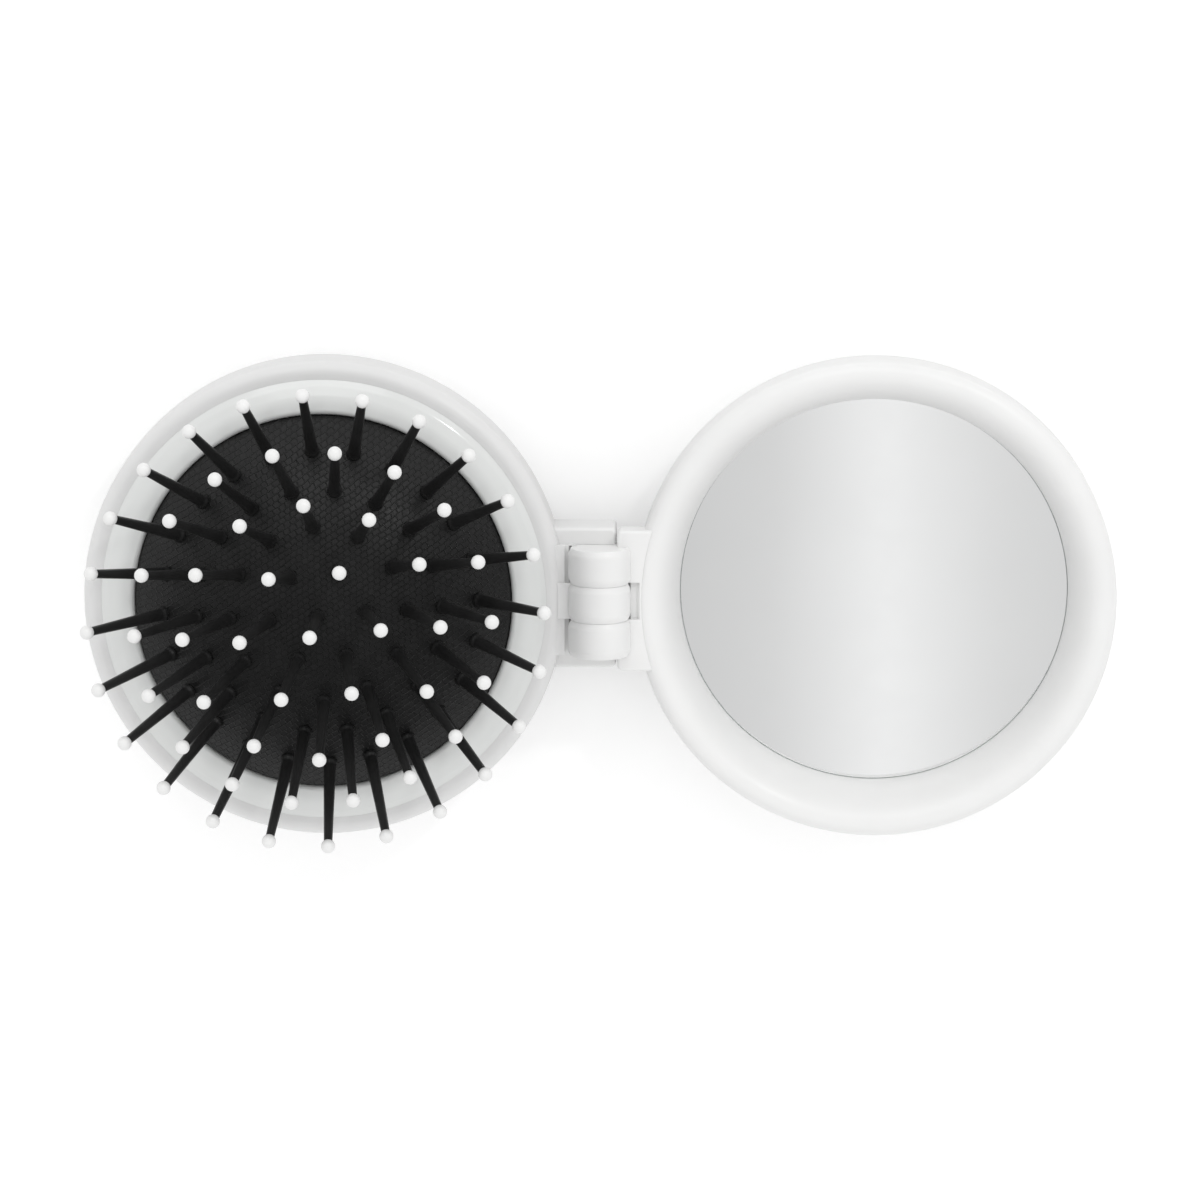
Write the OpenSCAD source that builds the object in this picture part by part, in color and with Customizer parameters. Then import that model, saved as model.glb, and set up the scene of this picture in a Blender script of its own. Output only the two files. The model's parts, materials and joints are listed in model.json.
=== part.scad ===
// Folding pocket hairbrush with a mirror, opened flat on its back with the pin pad popped out.
// Z is up, the brush half lies towards -X and the mirror half towards +X.
// The hinge line runs along Y, above the origin.

/* [Case halves] */
// Diameter of each round half
case_d = 65; // [58:0.5:75]
// Gap between the two round halves, which the hinge bridges
half_gap = 9.4; // [8.9:0.1:12]
// Depth of each half, from its back to the plane where the halves meet
half_depth = 15; // [14:0.5:18]
// Gap left between the two rims when the brush is shut
closing_gap = 0.3; // [0.2:0.05:0.6]
// Radius of the round edge between the flat back and the side wall
back_round = 8; // [5:0.5:8.5]

/* [Brush shell] */
// Diameter of the opening in the back, where a thumb pushes the pad out
thumb_opening_d = 36; // [30:1:40]
// Thickness of the shell's back
shell_floor_t = 1.8; // [1.2:0.1:2.4]
// Thickness of the shell's side wall round the retaining ring
shell_wall_t = 2.5; // [2:0.1:3]
// Radius of the shell's round top edge
shell_rim_round = 2.1; // [1:0.1:2.2]
// Depth of the seat that the pad's flange and the ring lie in
seat_depth = 3.05; // [2.6:0.05:4]
// Width of the ledge under the pad's flange
seat_ledge_w = 1.8; // [1.2:0.1:2.4]
// Inner radius of the corner between the side wall and the back
shell_inner_round = 6; // [3:0.5:7]

/* [Pad retaining ring] */
// Width of the ring, from its window to its outer edge
ring_w = 4.5; // [3.6:0.1:7]
// Height of the ring's crown above the shell's rim
ring_crown_h = 1.2; // [0.6:0.1:1.4]
// Radius of the ring's rounded outer shoulder
ring_shoulder_r = 2.2; // [1.6:0.1:2.2]
// Sweep of the outer shoulder from the crown, in degrees
shoulder_sweep = 72; // [60:1:85]
// Radius of the ring's rounded window edge
ring_lip_round = 0.8; // [0.4:0.1:1.2]
// Gap between the ring and the shell's seat
ring_fit = 0.1; // [0.05:0.05:0.2]

/* [Rubber pad] */
// Radius of the pad's domed outer face
pad_dome_r = 34; // [30:0.5:40]
// Thickness of the domed rubber
pad_t = 1.3; // [1:0.1:1.6]
// Thickness of the flange that the ring holds down
pad_flange_t = 1; // [0.8:0.1:1.4]
// Gap between the flange's edge and the seat
pad_flange_fit = 0.4; // [0.2:0.1:0.8]
// Gap between the pad's skirt and the ring's window
pad_skirt_fit = 0.1; // [0.05:0.05:0.2]

/* [Pins] */
// Number of pins in each ring, from the innermost out
ring_pins = [6, 12, 18, 24];
// Distance from the ring's window in to the feet of the outermost pins
outer_pins_inset = 4.2; // [3.5:0.1:7]
// Radius of each ring of feet, as a share of the outermost ring's
ring_spread = [0.306, 0.559, 0.777, 1]; // [0.2:0.001:1]
// Turn of each ring's first pin from +Y towards +X, in degrees
ring_turn = [24.7, -3, -12.5, -2.7]; // [-30:0.1:30]
// Length of a pin from the pad's face to the centre of its ball
pin_len = 14.5; // [10:0.5:15]
// Diameter of the ball at the tip
pin_ball_d = 1.9; // [1.6:0.05:2]
// Diameter of the shaft where it meets the ball
pin_tip_d = 1.15; // [0.8:0.05:1.3]
// Diameter of the shaft at its foot
pin_foot_d = 1.7; // [1.4:0.05:1.9]
// Diameter of the collar that rests on the pad
pin_collar_d = 2.1; // [1.8:0.1:2.4]
// Height of the collar
pin_collar_h = 0.6; // [0.4:0.1:1]
// Diameter of the stem that passes through the pad
pin_stem_d = 1.3; // [1:0.1:1.6]
// Diameter of the head behind the pad
pin_head_d = 2.4; // [2:0.1:2.6]
// Thickness of the head behind the pad
pin_head_t = 0.8; // [0.5:0.1:0.9]
// Radial gap between a pin's stem and its hole in the pad
pin_hole_fit = 0.05; // [0.02:0.01:0.1]

/* [Mirror half] */
// Width of the white rim round the mirror glass
mirror_rim_w = 6.1; // [5.8:0.1:9]
// Gap between the glass and the frame round it
mirror_fit = 0.1; // [0.05:0.05:0.4]
// Thickness of the glass
mirror_t = 1.8; // [1.2:0.1:2.4]
// Chamfer round the edge of the glass
mirror_chamfer = 0.25; // [0.1:0.05:0.5]
// Thickness of the foam tape behind the glass
adhesive_t = 0.8; // [0.5:0.1:1.2]
// Margin between the tape's edge and the edge of the glass
adhesive_margin = 1; // [0.5:0.1:3]
// Thickness of the back cover's floor
cover_floor_t = 2.5; // [1.8:0.1:3]
// Height of the joint line between the frame and the back cover
split_z = 8; // [8:0.1:8.5]
// Thickness of the frame's outer wall
frame_wall_t = 1.8; // [1.4:0.1:2]
// Thickness of the frame's inner wall
frame_inner_t = 1.8; // [1.4:0.1:2]
// Radius of the frame's rounded edge outside its crest
frame_edge_round = 1.7; // [1.2:0.1:2]
// Outward lean of the frame's inner wall for each millimetre of height
frame_lean = 0.2; // [0.1:0.01:0.25]
// Height above the back where the cover's side wall gets thinner
cover_step_z = 5; // [4:0.1:6]
// Height of the back cover's spigot inside the frame
spigot_h = 1.2; // [0.8:0.1:1.6]
// Thickness of the spigot
spigot_t = 0.9; // [0.7:0.05:1]
// Gap between the spigot and the frame's wall
spigot_fit = 0.1; // [0.05:0.05:0.2]

/* [Hinge] */
// Diameter of the knuckles
knuckle_d = 8.4; // [7:0.1:9]
// Length of the middle knuckle, on the brush half
mid_knuckle_w = 4.8; // [4:0.1:6]
// Length of each outer knuckle, on the mirror half
outer_knuckle_w = 4.75; // [4:0.05:6]
// Thickness of each ear of the brush half
ear_w = 2.15; // [1.5:0.05:3]
// Side gap between neighbouring knuckles and ears
knuckle_gap = 0.15; // [0.1:0.01:0.2]
// Rounding of the knuckles' ends
knuckle_round = 0.6; // [0.3:0.1:1]
// Diameter of the hinge pin
hinge_pin_d = 2; // [1.6:0.1:3]
// Radial gap between the hinge pin and the middle knuckle
hinge_pin_fit = 0.05; // [0.02:0.01:0.1]
// Depth of the hinge pin's end in the open mouth of its bore
hinge_pin_sink = 0.2; // [0.1:0.1:0.5]
// Thickness of the wall that closes the bore at its +Y end
bore_end_t = 0.6; // [0.4:0.1:1]
// Height of the brush arm's underside
brush_arm_z0 = 5; // [4:0.1:7]
// Height of the brush arm's top
brush_arm_z1 = 12.6; // [11:0.1:13]
// Depth of the brush arm below the rim, between the shell's wall and the outer knuckles
brush_shelf_drop = 0.8; // [0.5:0.1:2]
// Reach of the brush arm past the hinge line
brush_arm_reach = 2.2; // [1.5:0.1:2.2]
// Thickness of the mirror arm
mirror_arm_t = 4.05; // [3:0.05:5]
// Gap between the ends of the two arms
arm_gap = 0.17; // [0.1:0.01:0.3]
// Rounding of the arms' corners
arm_round = 0.7; // [0.3:0.1:1]
// Radial gap between the outer knuckles and their pocket in the brush arm
brush_pocket_fit = 0.35; // [0.2:0.05:0.5]
// Radial gap between the middle knuckle and its pocket in the mirror arm
mirror_pocket_fit = 0.3; // [0.2:0.05:0.5]
// Width and depth of the step at the mouth of that pocket
pocket_step = [0.9, 0.8]; // [0.5:0.1:1.2]

/* [Hidden] */
$fn = 96;
// Overlap that makes cuts pass clean through and joins bite
bite = 0.5;
case_r = case_d / 2;
half_x = case_r + half_gap / 2;
rim_z = half_depth - closing_gap / 2;
back_flat_r = case_r - back_round;
// Brush shell and ring
seat_r = case_r - shell_wall_t;
seat_z = rim_z - seat_depth;
ledge_r = seat_r - seat_ledge_w;
thumb_r = thumb_opening_d / 2;
crown_z = rim_z + ring_crown_h;
ring_r = seat_r - ring_fit;
window_r = ring_r - ring_w;
ring_z = seat_z + pad_flange_t;
shoulder_z = crown_z - ring_shoulder_r;
// The shoulder ends just inside its circle's widest point
crown_r = ring_r - ring_shoulder_r * sin(shoulder_sweep);
// Pad: the dome's sphere meets the ring's crown at the window
skirt_r = window_r - pad_skirt_fit;
dome_z = crown_z - sqrt(pow(pad_dome_r, 2) - pow(window_r, 2));
dome_inner_r = pad_dome_r - pad_t;
flange_r = seat_r - pad_flange_fit;
// Distance that keeps a flat collar or head just clear of the dome's curve
curve_gap = 0.03;
// Pins: how many share one moving group, ring by ring, after the innermost
group_size = 2;
// Lean of each ring's pins, square to the dome at their feet
ring_lean = [for (share = ring_spread) asin(share * (window_r - outer_pins_inset) / pad_dome_r)];
pin_head_z = dome_inner_r - curve_gap - pin_head_t;
// Mirror half
mirror_r = case_r - mirror_rim_w;
frame_bore_r = mirror_r + mirror_fit;
glass_z = cover_floor_t + adhesive_t;
glass_top_z = glass_z + mirror_t;
crest_r = case_r - frame_edge_round;
frame_bore_top_r = frame_bore_r + frame_lean * (rim_z - glass_top_z);
frame_wall_r = case_r - frame_wall_t;
spigot_r = frame_wall_r - spigot_fit;
frame_foot_r = frame_bore_r + frame_inner_t;
slope_steps = 14;
// Hinge
hinge_z = half_depth;
knuckle_r = knuckle_d / 2;
outer_knuckle_y0 = mid_knuckle_w / 2 + knuckle_gap;
outer_knuckle_y1 = outer_knuckle_y0 + outer_knuckle_w;
ear_y0 = outer_knuckle_y1 + knuckle_gap;
arm_y = ear_y0 + ear_w;
mirror_arm_x0 = brush_arm_reach + arm_gap;
mirror_arm_z0 = rim_z - mirror_arm_t;
brush_pocket_r = knuckle_r + brush_pocket_fit;
mirror_pocket_r = knuckle_r + mirror_pocket_fit;
// Radius to which the arms reach into the walls of the round halves
arm_root_r = case_r - frame_wall_t / 2;

ring_groups = [for (k = [1:3]) ring_pins[k] / group_size];
ring_names = ["", "pins_ring2_", "pins_ring3_", "pins_ring4_"];

white_case = [0.93, 0.93, 0.925];
gloss_white = [0.95, 0.955, 0.94];
black_rubber = [0.07, 0.07, 0.075];
black_pin = [0.05, 0.05, 0.055];

// Turns a profile drawn as radius and height about the brush half's own axis
module at_brush() { translate([-half_x, 0, 0]) children(); }
module at_mirror() { translate([half_x, 0, 0]) children(); }

// A cylinder along Y that spans y0 to y1 on the hinge line
module hinge_cylinder(r, y0, y1) {
    translate([0, y1, hinge_z]) rotate([90, 0, 0]) cylinder(r = r, h = y1 - y0);
}

// A block from corner a to corner b
module block(a, b) { translate(a) cube(b - a); }

// A knuckle with rounded ends, without its bore
module knuckle(y0, y1) {
    w = y1 - y0;
    translate([0, y1, hinge_z]) rotate([90, 0, 0]) rotate_extrude() {
        square([knuckle_r - knuckle_round, w]);
        translate([0, knuckle_round]) square([knuckle_r, w - 2 * knuckle_round]);
        for (z = [knuckle_round, w - knuckle_round])
            translate([knuckle_r - knuckle_round, z]) circle(r = knuckle_round);
    }
}

// A plate with rounded corners in plan
module rounded_plate(x0, x1, y, z0, z1) {
    translate([0, 0, z0]) linear_extrude(z1 - z0) {
        translate([x0 + arm_round, -y]) square([x1 - x0 - 2 * arm_round, 2 * y]);
        translate([x0, arm_round - y]) square([x1 - x0, 2 * (y - arm_round)]);
        for (x = [x0 + arm_round, x1 - arm_round]) for (s = [-1, 1])
            translate([x, s * (y - arm_round)]) circle(r = arm_round);
    }
}

// The outside of a half, as a profile: flat back, round lower edge and side wall up to z1
module half_profile(r0, z1) {
    difference() {
        translate([r0, 0]) square([case_r - r0, z1]);
        difference() {
            translate([back_flat_r, -bite]) square([back_round + bite, back_round + bite]);
            translate([back_flat_r, back_round]) circle(r = back_round);
        }
    }
}

module brush_shell_profile() {
    difference() {
        union() {
            half_profile(thumb_r, rim_z - shell_rim_round);
            translate([thumb_r, back_round])
                square([case_r - shell_rim_round - thumb_r, rim_z - back_round]);
            translate([case_r - shell_rim_round, rim_z - shell_rim_round])
                circle(r = shell_rim_round);
        }
        // Seat for the flange and the ring
        translate([0, seat_z]) square([seat_r, seat_depth + bite]);
        // Room behind the pad
        difference() {
            translate([0, shell_floor_t]) square([ledge_r, half_depth]);
            difference() {
                translate([ledge_r - shell_inner_round, 0])
                    square([shell_inner_round + bite, shell_floor_t + shell_inner_round]);
                translate([ledge_r - shell_inner_round, shell_floor_t + shell_inner_round])
                    circle(r = shell_inner_round);
            }
        }
    }
}

module brush_arm() {
    difference() {
        union() {
            rounded_plate(-half_x, brush_arm_reach, arm_y, brush_arm_z0, brush_arm_z1);
            block([-half_x, -ear_y0, brush_arm_z0], [-knuckle_r, ear_y0, rim_z - brush_shelf_drop]);
        }
        at_brush() cylinder(r = arm_root_r, h = half_depth);
        for (s = [-1, 1]) {
            y0 = s > 0 ? mid_knuckle_w / 2 : -ear_y0;
            y1 = s > 0 ? ear_y0 : -mid_knuckle_w / 2;
            hinge_cylinder(brush_pocket_r, y0, y1);
            block([0, y0, hinge_z - brush_pocket_r], [brush_arm_reach + bite, y1, half_depth]);
        }
    }
}

module brush_shell() {
    color(white_case) difference() {
        union() {
            at_brush() rotate_extrude() brush_shell_profile();
            brush_arm();
            knuckle(-mid_knuckle_w / 2, mid_knuckle_w / 2);
            // Web between the middle knuckle and the shell's side
            difference() {
                block([-half_x, -mid_knuckle_w / 2, brush_arm_z0], [0, mid_knuckle_w / 2, rim_z]);
                at_brush() cylinder(r = arm_root_r, h = half_depth);
            }
        }
        hinge_cylinder(hinge_pin_d / 2 + hinge_pin_fit, -arm_y, arm_y);
    }
}

module pad_retaining_ring() {
    color(gloss_white) at_brush() rotate_extrude() {
        translate([window_r, ring_z]) square([ring_r - window_r, shoulder_z - ring_z]);
        translate([window_r + ring_lip_round, ring_z])
            square([crown_r - window_r - ring_lip_round, crown_z - ring_z]);
        translate([window_r, ring_z])
            square([ring_lip_round, crown_z - ring_lip_round - ring_z]);
        translate([window_r + ring_lip_round, crown_z - ring_lip_round])
            circle(r = ring_lip_round);
        intersection() {
            translate([crown_r, shoulder_z]) circle(r = ring_shoulder_r);
            translate([crown_r, ring_z]) square([ring_r - crown_r, half_depth]);
        }
    }
}

module rubber_pad() {
    color(black_rubber) at_brush() difference() {
        rotate_extrude() {
            // Dome and skirt, with the hollow behind them
            difference() {
                intersection() {
                    translate([0, dome_z]) circle(r = pad_dome_r);
                    translate([0, seat_z]) square([skirt_r, pad_dome_r]);
                }
                intersection() {
                    translate([0, dome_z]) circle(r = dome_inner_r);
                    translate([-bite, 0]) square([skirt_r - pad_t + bite, 2 * pad_dome_r]);
                }
            }
            // Flange under the ring
            translate([skirt_r - pad_t, seat_z])
                square([flange_r - skirt_r + pad_t, pad_flange_t]);
        }
        pin_places_all() translate([0, 0, dome_inner_r - bite])
            cylinder(r = pin_stem_d / 2 + pin_hole_fit, h = pad_t + 2 * bite);
    }
}

// Places its children at pin i of ring k (0 is the innermost ring), with Z along the pin
module pin_place(k, i) {
    translate([0, 0, dome_z]) rotate([0, 0, -ring_turn[k] - i * 360 / ring_pins[k]])
        rotate([-ring_lean[k], 0, 0]) children();
}

// Places its children at every pin
module pin_places_all() {
    translate([0, 0, dome_z]) children();
    for (k = [0:3]) for (i = [0:ring_pins[k] - 1]) pin_place(k, i) children();
}

// One pin along Z, measured from the centre of the dome's sphere
module pin() {
    color(black_pin) rotate_extrude() {
        translate([0, pin_head_z]) square([pin_head_d / 2, pin_head_t]);
        translate([0, pin_head_z]) square([pin_stem_d / 2, pad_dome_r - pin_head_z]);
        translate([0, pad_dome_r]) polygon([
            [0, 0], [pin_collar_d / 2, 0], [pin_foot_d / 2, pin_collar_h],
            [pin_tip_d / 2, pin_len], [0, pin_len]]);
        translate([0, pad_dome_r + pin_len]) intersection() {
            circle(r = pin_ball_d / 2);
            translate([0, -pin_ball_d]) square([pin_ball_d, 2 * pin_ball_d]);
        }
    }
}

// The middle pin and the innermost ring
module pins_centre() {
    at_brush() {
        translate([0, 0, dome_z]) pin();
        for (i = [0:ring_pins[0] - 1]) pin_place(0, i) pin();
    }
}

// Group g of ring k: neighbouring pins that lean together
module pin_group(k, g) {
    at_brush() for (i = [0:group_size - 1]) pin_place(k, (g - 1) * group_size + i) pin();
}

// Height fraction u of the frame's inner slope to its radius, level with the crest at u = 1
function slope_r(u) =
    frame_bore_r + (frame_bore_top_r - frame_bore_r) * u
    + (crest_r - frame_bore_top_r) * (1 - sqrt(1 - u * u));

module mirror_frame_profile() {
    slope = [for (i = [0:slope_steps]) let (u = sin(90 * i / slope_steps))
        [slope_r(u), glass_top_z + u * (rim_z - glass_top_z)]];
    difference() {
        union() {
            polygon(concat(
                [[crest_r, cover_floor_t], [frame_bore_r, cover_floor_t]], slope));
            translate([crest_r - bite, cover_floor_t])
                square([case_r - crest_r + bite, rim_z - frame_edge_round - cover_floor_t]);
            translate([crest_r, rim_z - frame_edge_round]) circle(r = frame_edge_round);
        }
        // Hollow under the crest, open towards the back cover
        polygon([
            [frame_foot_r, 0], [frame_wall_r, 0], [frame_wall_r, rim_z - 2 * frame_edge_round],
            [frame_wall_r - bite, rim_z - 2 * frame_edge_round], [frame_foot_r, split_z - bite]]);
        translate([frame_wall_r - bite, -bite]) square([case_r, split_z + bite]);
    }
}

module mirror_arm() {
    difference() {
        rounded_plate(mirror_arm_x0, half_x, arm_y, mirror_arm_z0, rim_z);
        at_mirror() cylinder(r = arm_root_r, h = half_depth);
    }
}

module mirror_frame() {
    color(white_case) difference() {
        union() {
            difference() {
                union() {
                    at_mirror() rotate_extrude() mirror_frame_profile();
                    mirror_arm();
                }
                hinge_cylinder(mirror_pocket_r, -outer_knuckle_y0, outer_knuckle_y0);
                block([0, -outer_knuckle_y0, rim_z - pocket_step[1]],
                      [mirror_pocket_r + pocket_step[0], outer_knuckle_y0, half_depth]);
            }
            for (s = [-1, 1]) {
                y0 = s > 0 ? outer_knuckle_y0 : -outer_knuckle_y1;
                y1 = s > 0 ? outer_knuckle_y1 : -outer_knuckle_y0;
                knuckle(y0, y1);
                block([0, y0, mirror_arm_z0], [mirror_arm_x0 + 2 * arm_round, y1, rim_z]);
            }
        }
        hinge_cylinder(hinge_pin_d / 2, -arm_y, outer_knuckle_y1 - bore_end_t);
    }
}

module mirror_back_cover() {
    color(white_case) at_mirror() rotate_extrude() difference() {
        union() {
            half_profile(0, split_z);
            translate([spigot_r - spigot_t, cover_step_z])
                square([spigot_t, split_z + spigot_h - cover_step_z]);
        }
        // Room for the mirror, and a wider one for the frame's inner wall
        translate([0, cover_floor_t]) square([frame_foot_r + spigot_fit, half_depth]);
        translate([0, cover_step_z]) square([spigot_r - spigot_t, half_depth]);
    }
}

module mirror_glass() {
    color([0.86, 0.87, 0.87]) at_mirror() translate([0, 0, glass_z]) rotate_extrude()
        polygon([[0, 0], [mirror_r, 0], [mirror_r, mirror_t - mirror_chamfer],
                 [mirror_r - mirror_chamfer, mirror_t], [0, mirror_t]]);
}

module mirror_adhesive() {
    color([0.75, 0.76, 0.78]) at_mirror() translate([0, 0, cover_floor_t])
        cylinder(r = mirror_r - adhesive_margin, h = adhesive_t);
}

module hinge_pin() {
    color([0.72, 0.73, 0.75]) hinge_cylinder(
        hinge_pin_d / 2, hinge_pin_sink - outer_knuckle_y1, outer_knuckle_y1 - bore_end_t);
}

brush_shell();
pad_retaining_ring();
rubber_pad();
pins_centre();
for (k = [1:3]) for (g = [1:ring_groups[k - 1]])
    pin_group(k, g);
mirror_frame();
mirror_back_cover();
mirror_glass();
mirror_adhesive();
hinge_pin();
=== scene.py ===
import json
import math

import bmesh
import bpy
from mathutils import Matrix, Vector


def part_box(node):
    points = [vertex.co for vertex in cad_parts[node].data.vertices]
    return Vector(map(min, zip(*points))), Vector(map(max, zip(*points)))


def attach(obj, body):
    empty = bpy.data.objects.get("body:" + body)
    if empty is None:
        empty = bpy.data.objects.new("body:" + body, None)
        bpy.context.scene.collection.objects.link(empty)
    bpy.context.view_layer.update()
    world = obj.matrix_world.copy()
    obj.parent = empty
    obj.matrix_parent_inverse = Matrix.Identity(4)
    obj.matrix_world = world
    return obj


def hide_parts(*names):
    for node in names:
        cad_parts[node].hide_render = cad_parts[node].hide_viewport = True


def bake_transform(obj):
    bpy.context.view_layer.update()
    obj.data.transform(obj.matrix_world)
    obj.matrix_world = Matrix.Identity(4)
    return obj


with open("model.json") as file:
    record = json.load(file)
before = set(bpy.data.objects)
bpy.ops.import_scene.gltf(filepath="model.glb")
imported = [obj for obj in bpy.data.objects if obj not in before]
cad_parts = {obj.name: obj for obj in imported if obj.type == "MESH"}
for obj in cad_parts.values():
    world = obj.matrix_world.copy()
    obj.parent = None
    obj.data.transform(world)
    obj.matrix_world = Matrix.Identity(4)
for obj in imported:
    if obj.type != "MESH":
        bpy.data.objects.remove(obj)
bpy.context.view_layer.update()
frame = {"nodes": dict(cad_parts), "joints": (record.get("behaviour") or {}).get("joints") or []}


def mm(*values):
    """Millimetres to metres, as one number or a tuple."""
    out = tuple(v / 1000 for v in values)
    return out[0] if len(out) == 1 else out


# ---------------------------------------------------------------- sizes taken from the frame
ring_lo, ring_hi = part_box("pad_retaining_ring")
glass_lo, glass_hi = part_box("mirror_glass")
cover_lo, cover_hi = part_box("mirror_back_cover")
fold = next(j for j in frame["joints"] if j["name"] == "fold")
HINGE = Vector(fold["pos_m"])

BRUSH_X = (ring_lo.x + ring_hi.x) / 2  # the middle of each half
MIRROR_X = (glass_lo.x + glass_hi.x) / 2
CASE_R = (cover_hi.y - cover_lo.y) / 2  # the outside of both halves
RING_R = (ring_hi.x - ring_lo.x) / 2
CROWN_Z = ring_hi.z  # the top of the ring round the pad
SEAT_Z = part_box("rubber_pad")[0].z  # the seat that the pad's flange lies on
GLASS_R = (glass_hi.x - glass_lo.x) / 2
GLASS_TOP, GLASS_BACK = glass_hi.z, glass_lo.z

# ---------------------------------------------------------------- sizes repeated from the solids
CLOSING_GAP = mm(0.3)  # between the two rims when the brush is shut
RIM_Z = HINGE.z - CLOSING_GAP / 2
VALLEY_Z = RIM_Z - mm(0.04)  # where the ring's slope meets the rim
WINDOW_R = mm(25.4)  # the ring's opening, which the pad fills
SEAT_R = mm(30)  # the bore that the ring sits in
SPLIT_Z = mm(8)  # the seam between the mirror's frame and its back cover
BED_Z = mm(2.5)  # the back cover's floor, where the frame ends

DOME_R = mm(34)  # the pad is part of a sphere, with its middle at DOME_Z
DOME_Z = CROWN_Z - math.sqrt(DOME_R ** 2 - WINDOW_R ** 2)
PAD_T = mm(1.3)
PIN_LEN = mm(14.5)  # from the dome to the end of a pin's ball
# The rings of pins, from the middle out: number of pins, lean, and turn of the first, in degrees.
RINGS = {1: (6, 11.0, 24.7), 2: (12, 20.4, -3.0), 3: (18, 29.0, -12.5), 4: (24, 38.6, -2.7)}

ARM_Y = mm(9.6)  # half the width of both arms
REACH, ARM_GAP = mm(2.2), mm(0.17)  # where the brush's arm ends past the hinge, and the gap there
ARM_ROOT = CASE_R * 0.7  # from the middle of a half to where its arm's blocks start
ARM_END_R = CASE_R - mm(0.9)  # the part of an arm inside this radius is cut away
KNUCKLE_R, MID_W, GAP, OUTER_W = mm(4.2), mm(4.8), mm(0.15), mm(4.75)  # knuckles and gaps
OUTER_Y0 = MID_W / 2 + GAP
OUTER_Y1 = OUTER_Y0 + OUTER_W
EAR_Y0 = OUTER_Y1 + GAP
BORE_R, WIRE_R = mm(1.05), mm(1)  # the pin turns in the brush's knuckle and is tight in the others

# ---------------------------------------------------------------- sizes of the dressed pieces alone
FIT, SWELL = mm(0.1), mm(0.068)  # gap round a knuckle, and how much its ends gain on the solid's
RIM_ROUND = mm(1.7)  # the rims' outer edges
MIRROR_BORE_R = GLASS_R + mm(0.01)
SEAM = mm(0.12)  # the softened edges along the mirror half's seam, and the glass's bevel
CUT_TOP = mm(16)  # clear above both rims
HAIR = mm(0.01)  # keeps faces that would coincide apart while solids are combined
OFF_AXIS = mm(0.37)  # where blocks end inside a hinge bar, off the bar's own edges
TINY = 1e-7  # a length below this counts as none

ROUND_SIDES, CUTTER_SIDES, BAR_SIDES, PIN_SIDES = 256, 192, 96, 28


# ---------------------------------------------------------------- node materials
def feed(tree, node, inputs):
    """Set a node's inputs, by name or place. Another node's socket is linked to, and anything
    else is a constant."""
    for key, value in inputs.items():
        if isinstance(value, bpy.types.NodeSocket):
            tree.links.new(value, node.inputs[key])
        else:
            node.inputs[key].default_value = value


def add(tree, kind, inputs, **settings):
    """A new node. The settings are its own properties."""
    node = tree.nodes.new(kind)
    for key, value in settings.items():
        setattr(node, key, value)
    feed(tree, node, inputs)
    return node


def new_material(name):
    material = bpy.data.materials.new(name)
    material.use_nodes = True
    tree = material.node_tree
    return material, tree, tree.nodes["Principled BSDF"]


def object_coords(tree):
    return add(tree, "ShaderNodeTexCoord", {}).outputs["Object"]


def grey(level):
    return (level, level, level)


def ramp(tree, source, stops):
    node = tree.nodes.new("ShaderNodeValToRGB")
    elements = node.color_ramp.elements
    while len(elements) < len(stops):
        elements.new(0.5)
    for element, (position, colour) in zip(elements, stops):
        element.position = position
        element.color = (*colour, 1)
    tree.links.new(source, node.inputs["Fac"])
    return node.outputs["Color"]


def noise(tree, coords, scale, detail=3.0, output="Fac"):
    inputs = {"Scale": scale, "Detail": detail, "Vector": coords}
    return add(tree, "ShaderNodeTexNoise", inputs).outputs[output]


def mix(tree, share, first, second, **settings):
    inputs = {"Factor": share, "A": first, "B": second}
    return add(tree, "ShaderNodeMix", inputs, data_type="RGBA", **settings).outputs["Result"]


def between(tree, source, low, high, **settings):
    """How far source is on its way from low, 0, to high, 1."""
    inputs = {"From Min": low, "From Max": high, "Value": source}
    return add(tree, "ShaderNodeMapRange", inputs, **settings).outputs["Result"]


def bump(tree, shader, height, distance, strength=1.0, after=None):
    inputs = {"Strength": strength, "Distance": distance, "Height": height}
    if after is not None:
        inputs["Normal"] = after
    normal = add(tree, "ShaderNodeBump", inputs).outputs["Normal"]
    tree.links.new(normal, shader.inputs["Normal"])
    return normal


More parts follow.
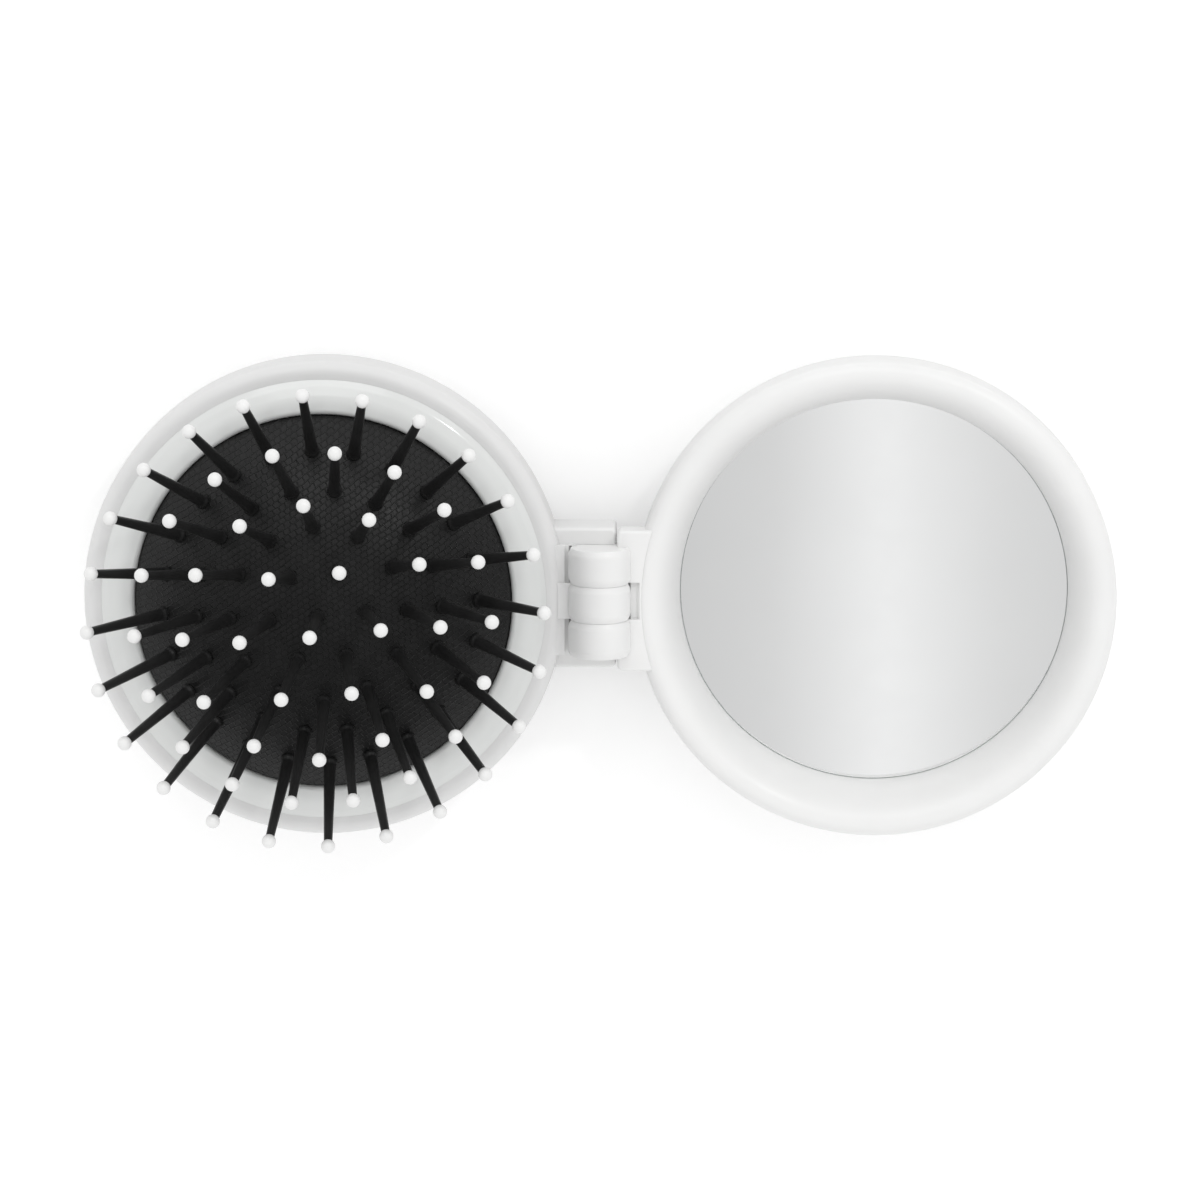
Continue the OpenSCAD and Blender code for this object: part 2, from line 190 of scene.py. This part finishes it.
def moulded_plastic(name, colour, roughness, mottling=0.012, coat=0.0, specular=0.5,
                    unshaded_far=None, soft=0.0):
    """Injection-moulded plastic: faint mottling, uneven gloss and a slight orange-peel surface.

    Given a second, lighter colour, the colour fades across the hinge from the first, on the brush
    half, to
    the second: the darker brush half is painted shade. With soft, some light passes through, which
    fills the corners and grooves."""
    # Painted shade: along x, the brush half's darker colour fades into the second colour between
    # these two places.
    shade_fade_start, shade_fade_end = mm(-9, 4)
    gloss_spread = 0.12
    material, tree, shader = new_material(name)
    coords = object_coords(tree)
    cloud = noise(tree, coords, 140, detail=2)
    tones = []
    for tone in (colour, unshaded_far or colour):
        low = tuple(max(0.0, c - mottling) for c in tone)
        tones.append(ramp(tree, cloud, [(0.35, low), (0.65, tone)]))
    across = add(tree, "ShaderNodeSeparateXYZ", {"Vector": coords}).outputs["X"]
    share = between(tree, across, shade_fade_start, shade_fade_end, interpolation_type="SMOOTHSTEP")
    gloss = noise(tree, coords, 420, detail=4)
    levels = [(0.3, grey(roughness * (1 - gloss_spread))),
              (0.7, grey(roughness * (1 + gloss_spread)))]
    feed(tree, shader, {
        "Base Color": mix(tree, share, *tones), "Roughness": ramp(tree, gloss, levels),
        "IOR": 1.49, "Specular IOR Level": specular, "Coat Weight": coat, "Coat Roughness": 0.06,
        "Subsurface Weight": soft, "Subsurface Radius": (1.0, 1.0, 1.0),
        "Subsurface Scale": mm(0.6)})
    bump(tree, shader, noise(tree, coords, 900, detail=2), mm(0.004), 0.25)
    return material


def rubber_material():
    """Black rubber embossed with a slanting grid of small offset cells inside raised lines."""
    slant, wander, shade_share = math.radians(-33), mm(0.7), 0.6
    material, tree, shader = new_material("rubber_grain")
    coords = object_coords(tree)
    turned = add(tree, "ShaderNodeMapping", {"Rotation": (0, 0, slant), "Vector": coords})
    turned = turned.outputs["Vector"]
    shift = add(tree, "ShaderNodeVectorMath", {
        0: noise(tree, turned, 420, output="Color"), 1: (wander, wander, 0), 2: turned},
        operation="MULTIPLY_ADD")
    cells = add(tree, "ShaderNodeTexBrick", {
        "Scale": 1.0, "Mortar Size": mm(0.09), "Mortar Smooth": 0.8, "Bias": 0.0,
        "Brick Width": mm(0.92), "Row Height": mm(0.74), "Vector": shift.outputs["Vector"],
        "Color1": (*grey(0.0), 1), "Color2": (*grey(0.45), 1), "Mortar": (*grey(1.0), 1)},
        offset=0.5, squash=1.0)
    fine = noise(tree, coords, 2600, detail=3)
    patches = noise(tree, coords, 110, detail=2)
    # The raised lines are coloured lighter than the cells: painted highlight where the ridges catch
    # the light. The cells' own tones differ at random.
    face = ramp(tree, cells.outputs["Color"],
                [(0.0, grey(0.004)), (0.45, grey(0.009)), (1.0, grey(0.014))])
    shade = ramp(tree, patches, [(0.35, grey(0.5)), (0.65, grey(1.0))])
    feed(tree, shader, {
        "Base Color": mix(tree, shade_share, face, shade, blend_type="MULTIPLY"),
        "Roughness": ramp(tree, fine, [(0.3, grey(0.36)), (0.7, grey(0.5))]),
        "IOR": 1.5, "Specular IOR Level": 0.3})
    first = bump(tree, shader, cells.outputs["Fac"], mm(0.16))
    bump(tree, shader, fine, mm(0.012), 0.35, after=first)
    return material


def mirror_material():
    """Silvered glass: a polished metal face with an almost invisible unevenness."""
    material, tree, shader = new_material("silvered_glass")
    coords = object_coords(tree)
    haze = [(0.3, (0.925, 0.93, 0.93)), (0.7, (0.945, 0.95, 0.95))]
    polish = [(0.3, grey(0.03)), (0.7, grey(0.045))]
    feed(tree, shader, {
        "Metallic": 1.0, "Base Color": ramp(tree, noise(tree, coords, 60, detail=2), haze),
        "Roughness": ramp(tree, noise(tree, coords, 300), polish)})
    return material


def glass_edge_material():
    """The ground edge of the mirror glass: grey-green and slightly frosted."""
    material, tree, shader = new_material("ground_glass_edge")
    frost = noise(tree, object_coords(tree), 1800, detail=4)
    levels = [(0.3, (0.46, 0.50, 0.49)), (0.7, (0.60, 0.63, 0.62))]
    feed(tree, shader, {"Base Color": ramp(tree, frost, levels), "Roughness": 0.35})
    bump(tree, shader, frost, mm(0.02), 0.4)
    return material


def wire_material():
    """Drawn steel wire with lines along its length."""
    material, tree, shader = new_material("drawn_wire")
    inputs = {"Scale": (1.0, 0.03, 1.0), "Vector": object_coords(tree)}
    stretched = add(tree, "ShaderNodeMapping", inputs).outputs["Vector"]
    lines = noise(tree, stretched, 5000, detail=3)
    levels = [(0.3, grey(0.52)), (0.7, grey(0.66))]
    feed(tree, shader, {"Base Color": ramp(tree, lines, levels), "Metallic": 1.0, "Roughness": 0.28})
    bump(tree, shader, lines, mm(0.004), 0.3)
    return material


# Both halves are the same white plastic. The brush half's darker colour, fading to the lighter one
# across the hinge, is painted shade.
WHITE_CASE = moulded_plastic("white_case_plastic", (0.76, 0.76, 0.757), 0.32, specular=0.4,
                             unshaded_far=(0.86, 0.86, 0.855), soft=0.3)
WHITE_RING = moulded_plastic("white_ring_plastic", (0.75, 0.762, 0.752), 0.16, 0.006, coat=0.4)
WHITE_BALL = moulded_plastic("white_ball_plastic", (0.86, 0.86, 0.855), 0.28, 0.02)
BLACK_PIN = moulded_plastic("black_pin_plastic", grey(0.017), 0.4, 0.006, specular=0.42)
RUBBER = rubber_material()
MIRROR = mirror_material()
GLASS_EDGE = glass_edge_material()
WIRE = wire_material()
TAPE = moulded_plastic("foam_tape", (0.55, 0.56, 0.58), 0.8, 0.06)


# ---------------------------------------------------------------- mesh helpers
def link(name, mesh, *materials):
    obj = bpy.data.objects.new(name, mesh)
    bpy.context.scene.collection.objects.link(obj)
    for material in materials:
        mesh.materials.append(material)
    return obj


def rounded(corners, steps=6):
    """A closed outline from corners (a, b, radius): each corner with a radius becomes an arc."""
    points = []
    count = len(corners)
    for i, (a, b, radius) in enumerate(corners):
        here = Vector((a, b))
        before = Vector(corners[i - 1][:2]) - here
        after = Vector(corners[(i + 1) % count][:2]) - here
        if radius <= 0:
            points.append(here)
            continue
        half = before.angle(after) / 2
        reach = min(radius / math.tan(half), before.length, after.length)
        radius = reach * math.tan(half)
        middle = (before.normalized() + after.normalized()).normalized()
        centre = here + middle * (radius / math.sin(half))
        start = here + before.normalized() * reach - centre
        end = here + after.normalized() * reach - centre
        sweep = start.angle_signed(end)
        for s in range(steps + 1):
            turn = Matrix.Rotation(-sweep * s / steps, 2)
            points.append(centre + turn @ start)
    return points


def lathe(outline, centre, segments=ROUND_SIDES, spin=None):
    """Faces of a closed outline (radius, height) turned about an upright axis."""
    bm = bmesh.new()
    rings = []
    angles = [2 * math.pi * s / segments for s in range(segments)]
    for radius, height in outline:
        if radius < TINY:
            rings.append([bm.verts.new((0, 0, height))] * segments)
            continue
        rings.append([bm.verts.new((radius * math.cos(a), radius * math.sin(a), height))
                      for a in angles])
    for i, ring in enumerate(rings):
        other = rings[(i + 1) % len(rings)]
        for s in range(segments):
            t = (s + 1) % segments
            corners = []
            for vert in (ring[s], ring[t], other[t], other[s]):
                if vert not in corners:
                    corners.append(vert)
            if len(corners) > 2:
                bm.faces.new(corners)
    bmesh.ops.recalc_face_normals(bm, faces=bm.faces)
    matrix = Matrix.Translation(centre) @ (spin or Matrix.Identity(4))
    bmesh.ops.transform(bm, matrix=matrix, verts=bm.verts)
    return bm


def block(low, high, corner=0.0, edge=0.0, steps=5):
    """A box between two corners, its upright edges rounded by corner and its level ones by edge."""
    turns = [math.pi / 2 * i / steps for i in range(steps + 1)] if edge else [math.pi / 2]
    levels = [(edge * (1 - math.cos(t)), low[2] + edge * (1 - math.sin(t)))
              for t in reversed(turns)]
    levels += [(edge * (1 - math.cos(t)), high[2] - edge * (1 - math.sin(t))) for t in turns]
    bm = bmesh.new()
    rings = []
    for inset, z in levels:
        x0, y0, x1, y1 = low[0] + inset, low[1] + inset, high[0] - inset, high[1] - inset
        plan = [(x0, y0), (x1, y0), (x1, y1), (x0, y1)]
        if corner:
            plan = rounded([(x, y, corner - inset) for x, y in plan], steps)
        rings.append([bm.verts.new((x, y, z)) for x, y in plan])
    bm.faces.new(list(reversed(rings[0])))
    bm.faces.new(rings[-1])
    for lower, upper in zip(rings, rings[1:]):
        for i in range(len(lower)):
            j = (i + 1) % len(lower)
            bm.faces.new((lower[i], lower[j], upper[j], upper[i]))
    bmesh.ops.recalc_face_normals(bm, faces=bm.faces)
    return bm


def hinge_bar(radius, y0, y1, soft_ends=False):
    """A round bar on the hinge line, from y0 to y1. Soft ends slope in shallowly before the flat."""
    dip, run, blend = (mm(0.35), mm(0.8), mm(1.5)) if soft_ends else (0, 0, 0)
    corners = [(0, 0, 0), (radius - dip, 0, dip / 4)]
    if soft_ends:
        corners += [(radius, run, blend), (radius, y1 - y0 - run, blend)]
    corners += [(radius - dip, y1 - y0, dip / 4), (0, y1 - y0, 0)]
    along_y = Matrix.Rotation(math.radians(90), 4, "X")
    return lathe(rounded(corners), (HINGE.x, y1, HINGE.z), BAR_SIDES, along_y)


def upright_bar(centre_x, radius):
    """A round bar that takes the hollow of a half out of what reaches into it."""
    foot, height = mm(-5), mm(30)
    outline = [Vector(p) for p in ((0, 0), (radius, 0), (radius, height), (0, height))]
    return lathe(outline, (centre_x, 0, foot), CUTTER_SIDES)


def combine(base, *tools, operation="DIFFERENCE"):
    """base with each tool taken away from it or added to it. All are bmeshes and are used up."""
    for tool in tools:
        objects = []
        for bm in (base, tool):
            mesh = bpy.data.meshes.new("work")
            bm.to_mesh(mesh)
            bm.free()
            objects.append(link("work", mesh))
        modifier = objects[0].modifiers.new("work", "BOOLEAN")
        modifier.object, modifier.operation, modifier.solver = objects[1], operation, "EXACT"
        evaluated = objects[0].evaluated_get(bpy.context.evaluated_depsgraph_get())
        base = bmesh.new()
        base.from_mesh(evaluated.to_mesh())
        evaluated.to_mesh_clear()
        for obj in objects:
            mesh = obj.data
            bpy.data.objects.remove(obj)
            bpy.data.meshes.remove(mesh)
    return base


def join(*parts):
    """One bmesh from several, each (bmesh, material index)."""
    whole = bmesh.new()
    for part, index in parts:
        for face in part.faces:
            face.material_index = index
        mesh = bpy.data.meshes.new("part")
        part.to_mesh(mesh)
        part.free()
        whole.from_mesh(mesh)
        bpy.data.meshes.remove(mesh)
    return whole


def finish_mesh(bm, name, *materials, angle=35):
    """An object from a bmesh, smooth but for edges sharper than angle, in degrees."""
    mesh = bpy.data.meshes.new(name)
    bm.to_mesh(mesh)
    bm.free()
    obj = link(name, mesh, *materials)
    mesh.shade_smooth()
    mesh.set_sharp_from_angle(angle=math.radians(angle))
    weighted = obj.modifiers.new("weighted_normals", "WEIGHTED_NORMAL")
    weighted.keep_sharp = True
    return obj


def place(obj, body, node):
    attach(obj, body)
    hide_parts(node)


# ---------------------------------------------------------------- pins
def pin_outline():
    """A pin's profile, upright from the dome's middle: head behind the pad, collar, tapered shaft."""
    head_r, head_t, stem_r = mm(1.2), mm(0.8), mm(0.65)
    collar_r, shoulder_r, waist_r, tip_r = mm(1.05), mm(1.0), mm(0.84), mm(0.575)
    head_z = DOME_R - PAD_T - mm(0.03) - head_t
    tip_z = DOME_R + PIN_LEN - mm(0.5)
    return rounded([
        (0, head_z, 0), (head_r, head_z, mm(0.25)), (head_r, head_z + head_t, mm(0.15)),
        (stem_r, head_z + head_t, 0), (stem_r, DOME_R, 0), (collar_r, DOME_R, mm(0.05)),
        (shoulder_r, DOME_R + mm(0.35), mm(0.25)), (waist_r, DOME_R + mm(0.75), mm(1.0)),
        (tip_r, tip_z, 0), (0, tip_z, 0)], steps=4)


def ball_outline():
    """The white ball on a pin's tip, flat where the shaft goes in."""
    radius, foot_share, rows = mm(0.95), 0.52 / 0.95, 14
    start = math.asin(foot_share)
    arc = [start + (math.pi - start) * i / rows for i in range(rows + 1)]
    points = [Vector((radius * math.sin(a), DOME_R + PIN_LEN - radius * math.cos(a)))
              for a in arc]
    points[-1].x = 0
    return [Vector((0, points[0].y))] + points


def pin_turn(ring, index):
    """The turn from upright to pin `index` of `ring`, about the middle of the dome's sphere."""
    count, lean, turn = RINGS[ring]
    azimuth = math.radians(turn + index * 360 / count)
    return Matrix.Rotation(-azimuth, 4, "Z") @ Matrix.Rotation(-math.radians(lean), 4, "X")


def pins(node, turns, body):
    """The pins of one CAD node, each turned out of the upright by one of turns."""
    parts = []
    centre = (BRUSH_X, 0, DOME_Z)
    for turn in turns:
        parts.append((lathe(pin_outline(), centre, PIN_SIDES, turn), 0))
        parts.append((lathe(ball_outline(), centre, PIN_SIDES, turn), 1))
    obj = finish_mesh(join(*parts), node + "_detail", BLACK_PIN, WHITE_BALL, angle=50)
    place(obj, body, node)


def all_pins():
    """The middle pin and ring 1 move with the pad's middle; the outer rings move in pairs."""
    middle = [Matrix.Identity(4)] + [pin_turn(1, i) for i in range(RINGS[1][0])]
    pins("pins_centre", middle, "pad_middle")
    for ring in (2, 3, 4):
        for group in range(RINGS[ring][0] // 2):
            node = f"pins_ring{ring}_{group + 1}"
            pins(node, [pin_turn(ring, group * 2 + k) for k in (0, 1)], node)


# ---------------------------------------------------------------- pad
def rubber_pad():
    """The domed pad: textured dome, a plain step at its edge, skirt and flange, in fine rings."""
    outer, inner = [], []
    skirt_r, flange_r, flange_t = WINDOW_R - mm(0.1), RING_R - mm(0.3), mm(1)
    step_w, step_h = mm(0.35), mm(0.3)
    lean_end = math.asin((skirt_r - step_w) / DOME_R)
    rows = 90
    for i in range(rows + 1):
        lean = lean_end * i / rows
        outer.append(Vector((DOME_R * math.sin(lean), DOME_Z + DOME_R * math.cos(lean))))
    skirt = [(skirt_r, DOME_Z + math.sqrt(DOME_R ** 2 - skirt_r ** 2) - step_h)]
    skirt += [(skirt_r, CROWN_Z - mm(1) - mm(0.75) * i) for i in range(3)]
    skirt += [(skirt_r, SEAT_Z + flange_t), (flange_r, SEAT_Z + flange_t), (flange_r, SEAT_Z)]
    inner_r, back_r = skirt_r - PAD_T, DOME_R - PAD_T
    skirt += [(inner_r, SEAT_Z)]
    skirt += [(inner_r, SEAT_Z + mm(1.1) * i) for i in (1, 2, 3)]
    lean_in = math.asin(inner_r / back_r)
    for i in range(rows + 1):
        lean = lean_in * (1 - i / rows)
        inner.append(Vector((back_r * math.sin(lean), DOME_Z + back_r * math.cos(lean))))
    inner[-1].x = 0
    outline = outer + [Vector(p) for p in skirt] + inner
    obj = finish_mesh(lathe(outline, (BRUSH_X, 0, 0)), "rubber_pad_detail", RUBBER, angle=50)
    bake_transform(obj)
    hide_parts("rubber_pad")


# ---------------------------------------------------------------- brush half
def brush_shell():
    """The brush's case: a turned shell, one with the arm that carries the middle knuckle."""
    thumb_r, ledge_r, floor_t = mm(18), mm(28.2), mm(1.8)
    outline = rounded([
        (thumb_r, 0, mm(0.5)), (CASE_R, 0, mm(8)), (CASE_R, RIM_Z, RIM_ROUND),
        (SEAT_R + mm(0.7), RIM_Z, mm(2)), (SEAT_R, VALLEY_Z, 0), (SEAT_R, SEAT_Z, 0),
        (ledge_r, SEAT_Z, mm(0.2)), (ledge_r, floor_t, mm(6)), (thumb_r, floor_t, mm(0.5))],
        steps=14)
    root, edge_x, low, top = BRUSH_X + ARM_ROOT, BRUSH_X + CASE_R, mm(5), mm(12.6)
    shelf_z, ledge_x, ledge_z = RIM_Z - mm(0.4), -mm(3), RIM_Z - mm(1.05)
    arm = block((root, -ARM_Y, low), (REACH, ARM_Y, top), mm(0.7), mm(0.5))
    shelf = block((root, -EAR_Y0, low), (edge_x, EAR_Y0, shelf_z))
    ledge = block((root, HAIR - EAR_Y0, low), (ledge_x, EAR_Y0 - HAIR, ledge_z))
    arm = combine(arm, shelf, ledge, operation="UNION")
    pocket, past_end = KNUCKLE_R + FIT, REACH + mm(1)
    cuts = []
    for side in (-1, 1):
        y0, y1 = sorted((side * (MID_W / 2 - HAIR), side * (EAR_Y0 - SWELL)))
        cuts.append(hinge_bar(pocket, y0, y1))
        cuts.append(block((OFF_AXIS, y0 + HAIR, HINGE.z - pocket + 5 * HAIR),
                          (past_end, y1 - HAIR, CUT_TOP)))
    arm = combine(arm, *cuts)
    half_w, bore_y = MID_W / 2 + SWELL, mm(11)
    web = block((root, 2 * HAIR - half_w, low + HAIR), (OFF_AXIS, half_w - 2 * HAIR, RIM_Z - HAIR))
    knuckle = hinge_bar(KNUCKLE_R, -half_w, half_w, soft_ends=True)
    arm = combine(arm, web, knuckle, operation="UNION")
    arm = combine(arm, upright_bar(BRUSH_X, ARM_END_R), hinge_bar(BORE_R, -bore_y, bore_y))
    shell = combine(lathe(outline, (BRUSH_X, 0, 0)), arm, operation="UNION")
    obj = finish_mesh(shell, "brush_shell_detail", WHITE_CASE)
    place(obj, "brush_half", "brush_shell")


def retaining_ring():
    """The glossy ring that holds the pad, highest near the pad and sloping down to the rim."""
    low = SEAT_Z + mm(1)
    outline = rounded([
        (WINDOW_R, low, mm(0.1)), (RING_R, low, mm(0.1)), (RING_R, CROWN_Z - mm(1.7), 0),
        (SEAT_R, CROWN_Z - mm(1.6), 0), (SEAT_R, VALLEY_Z, 0),
        (SEAT_R - mm(0.8), CROWN_Z - mm(0.72), mm(2)), (SEAT_R - mm(2.6), CROWN_Z, mm(4)),
        (WINDOW_R, CROWN_Z, mm(0.8))], steps=12)
    obj = finish_mesh(lathe(outline, (BRUSH_X, 0, 0)), "pad_ring_detail", WHITE_RING)
    place(obj, "brush_half", "pad_retaining_ring")


# ---------------------------------------------------------------- mirror half
def frame_face():
    """The frame's outline from the glass over the crest: a quarter ellipse, steep at its foot, and
    the rounding of the outer edge."""
    crest_r, height = CASE_R - RIM_ROUND, RIM_Z - GLASS_TOP
    slope_steps, edge_steps = 32, 10
    points = []
    for i in range(slope_steps + 1):
        t = math.pi / 2 * i / slope_steps
        points.append(Vector((crest_r - (crest_r - MIRROR_BORE_R) * math.cos(t),
                              GLASS_TOP + height * math.sin(t))))
    for i in range(1, edge_steps + 1):
        t = math.pi / 2 * i / edge_steps
        points.append(Vector((crest_r + RIM_ROUND * math.sin(t),
                              RIM_Z - RIM_ROUND + RIM_ROUND * math.cos(t))))
    return points


def mirror_frame():
    """The mirror's frame: a turned ring, one with the arm that carries the two outer knuckles."""
    wall_r, lip_r, lip_z = CASE_R - mm(1.8), CASE_R - mm(2.3), mm(11.45)
    foot_r, foot_z = mm(28.4), mm(7.5)
    outline = [Vector((MIRROR_BORE_R, BED_Z))] + frame_face()
    outline += [Vector(p) for p in (
        (CASE_R, SPLIT_Z + SEAM), (CASE_R - SEAM, SPLIT_Z), (wall_r, SPLIT_Z), (wall_r, lip_z),
        (lip_r, lip_z), (foot_r, foot_z), (foot_r, BED_Z))]
    low, x0, inner = RIM_Z - mm(4.05), REACH + ARM_GAP, OUTER_Y0 - HAIR
    arm = block((x0, -ARM_Y, low), (MIRROR_X - ARM_ROOT, ARM_Y, RIM_Z), mm(0.7), mm(0.4))
    step = block((0, HAIR - inner, RIM_Z - mm(0.8)), (KNUCKLE_R + mm(1.2), inner - HAIR, CUT_TOP))
    arm = combine(arm, hinge_bar(KNUCKLE_R + FIT, -inner, inner), step)
    for side in (-1, 1):
        y0, y1 = sorted((side * (OUTER_Y0 - SWELL), side * (OUTER_Y1 + SWELL)))
        tail = block((OFF_AXIS, y0 + HAIR, low + 5 * HAIR),
                     (x0 + mm(1.4), y1 - HAIR, RIM_Z - 5 * HAIR))
        knuckle = hinge_bar(KNUCKLE_R, y0, y1, soft_ends=True)
        arm = combine(arm, tail, knuckle, operation="UNION")
    bore = hinge_bar(WIRE_R, -ARM_Y, OUTER_Y1 - mm(0.6))
    arm = combine(arm, upright_bar(MIRROR_X, ARM_END_R), bore)
    whole = combine(lathe(outline, (MIRROR_X, 0, 0)), arm, operation="UNION")
    obj = finish_mesh(whole, "mirror_frame_detail", WHITE_CASE)
    place(obj, "mirror_half", "mirror_frame")


def back_cover():
    """The rounded back cover, with the tongue that goes up inside the frame."""
    tongue_r, tongue_in, tongue_z = mm(30.6), mm(29.7), mm(9.2)
    recess_r, recess_z = mm(28.5), mm(5)
    outline = rounded([
        (0, 0, 0), (CASE_R, 0, mm(7.85)), (CASE_R, SPLIT_Z, SEAM), (tongue_r, SPLIT_Z, 0),
        (tongue_r, tongue_z, mm(0.1)), (tongue_in, tongue_z, mm(0.1)), (tongue_in, recess_z, 0),
        (recess_r, recess_z, 0), (recess_r, BED_Z, 0), (0, BED_Z, 0)], steps=14)
    obj = finish_mesh(lathe(outline, (MIRROR_X, 0, 0)), "back_cover_detail", WHITE_CASE)
    place(obj, "mirror_half", "mirror_back_cover")


def mirror_glass():
    """The silvered disc, with a ground bevel and edge."""
    outline = [Vector(p) for p in (
        (0, GLASS_TOP), (GLASS_R - SEAM, GLASS_TOP), (GLASS_R, GLASS_TOP - SEAM),
        (GLASS_R, GLASS_BACK), (0, GLASS_BACK))]
    bm = lathe(outline, (MIRROR_X, 0, 0))
    for part in bm.faces:
        flat = all(abs(v.co.z - GLASS_TOP) < TINY for v in part.verts)
        part.material_index = 0 if flat else 1
    obj = finish_mesh(bm, "mirror_glass_detail", MIRROR, GLASS_EDGE, angle=20)
    place(obj, "mirror_half", "mirror_glass")


def carried_over():
    """CAD nodes whose own shape is right, with their material."""
    for node, material in (("mirror_adhesive", TAPE), ("hinge_pin", WIRE)):
        mesh = frame["nodes"][node].data
        mesh.materials.clear()
        mesh.materials.append(material)


# ---------------------------------------------------------------- camera, light and floor
def studio_camera():
    """The photograph's view: nearly straight down, leaning 10 degrees towards +Y."""
    distance, frame_width = 0.76, 0.1625
    target = Vector((0, mm(-0.55), mm(11)))
    data = bpy.data.cameras.new("photo_camera")
    data.sensor_width = 36
    data.lens = data.sensor_width * distance / frame_width
    data.clip_end = 10
    camera = bpy.data.objects.new("photo_camera", data)
    bpy.context.scene.collection.objects.link(camera)
    away = Vector((0.019, 0.184, 1)).normalized()
    camera.location = target + away * distance
    up = Vector((0, 1, 0))
    right = up.cross(away).normalized()
    rotation = Matrix((right, away.cross(right), away)).transposed()
    camera.rotation_euler = rotation.to_euler()
    bpy.context.scene.camera = camera


def studio_world():
    """Soft daylight all round; what the camera, gloss and glass see is white, with a strip overhead.

    The strip is the brightest part of the overhead diffuser. It runs along Y, a little right of
    the middle, and the mirror shows it as a soft gradient across its face."""
    fill_level, strip_x, strip_half = 0.87, 0.0328, 0.042
    world = bpy.data.worlds.new("studio")
    bpy.context.scene.world = world
    world.use_nodes = True
    tree = world.node_tree
    generated = add(tree, "ShaderNodeTexCoord", {}).outputs["Generated"]
    direction = add(tree, "ShaderNodeSeparateXYZ", {"Vector": generated}).outputs
    slope = add(tree, "ShaderNodeMath", {0: direction["X"], 1: direction["Z"]}, operation="DIVIDE")
    strip_share = between(tree, slope.outputs["Value"], strip_x - strip_half, strip_x + strip_half)
    strip = ramp(tree, strip_share, [
        (0.0, grey(0.62)), (0.25, grey(0.69)), (0.5, grey(0.92)), (0.75, grey(0.73)),
        (1.0, grey(0.66))])
    front_to_back = between(tree, direction["Y"], -0.7, 0.7)
    walls = ramp(tree, front_to_back, [(0.0, grey(0.45)), (1.0, grey(1.0))])
    seen = mix(tree, between(tree, direction["Z"], 0.80, 0.95), walls, strip)
    rays = add(tree, "ShaderNodeLightPath", {}).outputs
    lit = mix(tree, rays["Is Glossy Ray"], (*grey(fill_level), 1), seen)
    plain = add(tree, "ShaderNodeMath", {0: rays["Is Camera Ray"], 1: rays["Is Transmission Ray"]},
                operation="MAXIMUM").outputs["Value"]
    feed(tree, tree.nodes["Background"], {
        "Color": mix(tree, plain, lit, (*grey(1), 1)), "Strength": 1.0})


def area_light(name, location, size, power):
    """A round lamp that points at the middle of the brush."""
    data = bpy.data.lights.new(name, "AREA")
    data.shape, data.size, data.energy = "DISK", size, power
    lamp = bpy.data.objects.new(name, data)
    bpy.context.scene.collection.objects.link(lamp)
    lamp.location = location
    lamp.rotation_euler = (-Vector(location)).to_track_quat("-Z", "Y").to_euler()
    return lamp


def studio_light():
    """A large key and a small kicker from beyond the top edge, and a front lamp that gloss doesn't
    show. The world gives the rest."""
    area_light("key", (-0.15, 1.05, 0.85), size=0.9, power=2.4)
    area_light("kicker", (0.7, 0.9, 1.0), size=0.1, power=1.8)
    front = area_light("front", (0.15, -1.0, 0.9), size=1.0, power=1.8)
    front.visible_glossy = False


def studio_floor():
    """A plain pale floor that keeps the soft shadow and reads white to the camera."""
    camera_lift, radius, drop = 0.2, 3, mm(-0.02)
    material, tree, shader = new_material("floor_paper")
    levels = [(0.3, grey(0.90)), (0.7, grey(0.92))]
    seen = add(tree, "ShaderNodeLightPath", {}).outputs["Is Camera Ray"]
    lift = add(tree, "ShaderNodeMath", {0: seen, 1: camera_lift}, operation="MULTIPLY")
    feed(tree, shader, {
        "Base Color": ramp(tree, noise(tree, object_coords(tree), 30), levels), "Roughness": 0.9,
        "Specular IOR Level": 0.1, "Emission Color": (*grey(1), 1),
        "Emission Strength": lift.outputs["Value"]})
    bm = bmesh.new()
    bmesh.ops.create_circle(bm, cap_ends=True, radius=radius, segments=64)
    floor = finish_mesh(bm, "floor", material)
    floor.location.z = drop


all_pins()
rubber_pad()
brush_shell()
retaining_ring()
mirror_frame()
back_cover()
mirror_glass()
carried_over()
studio_camera()
studio_world()
studio_light()
studio_floor()

view = bpy.context.scene.view_settings
view.view_transform = "Standard"
